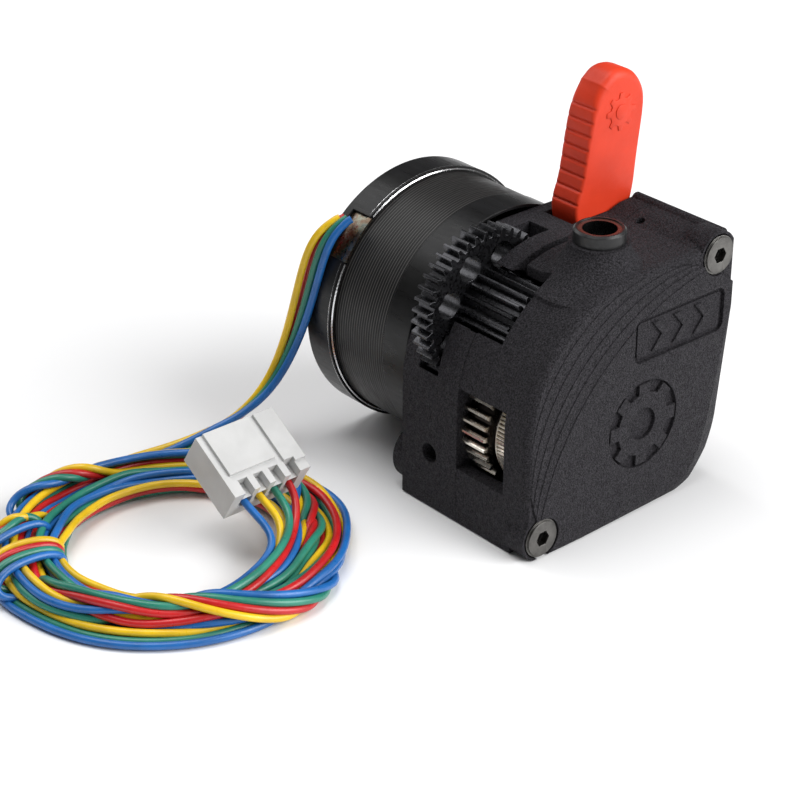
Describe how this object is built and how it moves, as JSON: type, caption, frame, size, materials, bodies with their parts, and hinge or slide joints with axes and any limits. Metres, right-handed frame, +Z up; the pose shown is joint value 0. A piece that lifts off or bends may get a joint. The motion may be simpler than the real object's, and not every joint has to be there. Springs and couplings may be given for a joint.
{
  "type": "filament extruder",
  "caption": "Geared filament extruder with two driven hob gears, sprung idler arm, quick-release lever, pancake stepper motor and coiled leads.",
  "frame": {"origin": "centre of the filament outlet on the bottom face", "axes": "+X right seen from the front, +Y back along the motor axis, +Z up along the filament path"},
  "size_m": [0.0978, 0.0595, 0.0554],
  "materials": {
    "printed_nylon": "grainy sintered nylon",
    "dark_steel": "black oxide steel",
    "bright_steel": "ground steel",
    "gear_nickel": "nickel plated hardened steel",
    "brass_part": "turned brass",
    "black_aluminium": "black anodised",
    "stack_steel": "black coated laminations",
    "copper_wire": "enamelled copper",
    "tube_white": "low friction tube",
    "collar_dark": "satin",
    "sleeve_brown": "satin",
    "lever_red": "moulded",
    "plug_white": "moulded nylon",
    "lead_plastic": "four coloured leads",
    "zinc_plate": "iridescent zinc"
  },
  "bodies": {
    "housing": {"front_housing": "printed_nylon", "rear_housing": "printed_nylon", "front_screws": "dark_steel", "screw_inserts": "brass_part", "motor_screws": "dark_steel", "counter_shaft": "bright_steel", "left_drive_shaft": "bright_steel", "idler_pivot_pin": "bright_steel", "lever_pin": "bright_steel", "inlet_collar": "collar_dark", "inlet_sleeve": "sleeve_brown", "upper_guide_tube": "tube_white", "lower_guide_tube": "tube_white", "motor_front_cap": "black_aluminium", "motor_stator_stack": "stack_steel", "motor_windings": "copper_wire", "motor_rear_cap": "black_aluminium", "motor_front_bearing": "bright_steel", "motor_rear_bearing": "bright_steel", "bearing_preload_washer": "bright_steel", "motor_case_screws": "dark_steel", "lead_window_plate": "zinc_plate", "lead_bundle": "lead_plastic", "lead_coil": "lead_plastic", "plug_housing": "plug_white", "plug_contacts": "brass_part"},
    "rotor": {"motor_rotor": "bright_steel", "motor_shaft": "bright_steel"},
    "reduction": {"reduction_gear": "dark_steel", "reduction_pinion": "dark_steel", "reduction_bushes": "brass_part"},
    "left_drive": {"left_drive_gear": "gear_nickel", "left_drive_bearing": "bright_steel"},
    "idler": {"idler_arm": "printed_nylon", "idler_axle": "bright_steel"},
    "right_drive": {"right_drive_gear": "gear_nickel", "right_drive_bearing": "bright_steel"},
    "lever": {"release_lever": "lever_red", "lever_cam": "dark_steel"},
    "plunger": {"spring_plunger": "brass_part", "tension_spring": "bright_steel"}
  },
  "joints": [
    {"name": "rotor_spin", "type": "hinge", "parent": "housing", "child": "rotor", "pos_m": [0.0005, 0.025, 0.01883], "axis": [0, 1, 0], "continuous": true},
    {"name": "reduction_spin", "type": "hinge", "parent": "housing", "child": "reduction", "pos_m": [-0.0085, 0.008, 0.0275], "axis": [0, 1, 0], "continuous": true},
    {"name": "left_drive_spin", "type": "hinge", "parent": "housing", "child": "left_drive", "pos_m": [-0.0085, 0.002, 0.014], "axis": [0, 1, 0], "continuous": true},
    {"name": "idler_swing", "type": "hinge", "parent": "housing", "child": "idler", "pos_m": [0.005, 0.003, 0.0033], "axis": [0, 1, 0], "range_deg": [0, 4], "stiffness_Nm_per_rad": 0.3, "deforming": ["tension_spring"]},
    {"name": "right_drive_spin", "type": "hinge", "parent": "idler", "child": "right_drive", "pos_m": [0.0085, 0.002, 0.014], "axis": [0, 1, 0], "continuous": true},
    {"name": "lever_turn", "type": "hinge", "parent": "housing", "child": "lever", "pos_m": [0.0107, 0.013, 0.03], "axis": [0, 1, 0], "range_deg": [0, 80]},
    {"name": "plunger_slide", "type": "slide", "parent": "housing", "child": "plunger", "axis": [1, 0, 0], "range_m": [0, 0.0016], "deforming": ["tension_spring"]}
  ],
  "couplings": [
    {"joint": "reduction_spin", "follows": "rotor_spin", "ratio": -0.19048},
    {"joint": "left_drive_spin", "follows": "rotor_spin", "ratio": 0.11204},
    {"joint": "right_drive_spin", "follows": "rotor_spin", "ratio": -0.11204},
    {"joint": "plunger_slide", "follows": "lever_turn", "m_per_rad": 0.001074}
  ]
}
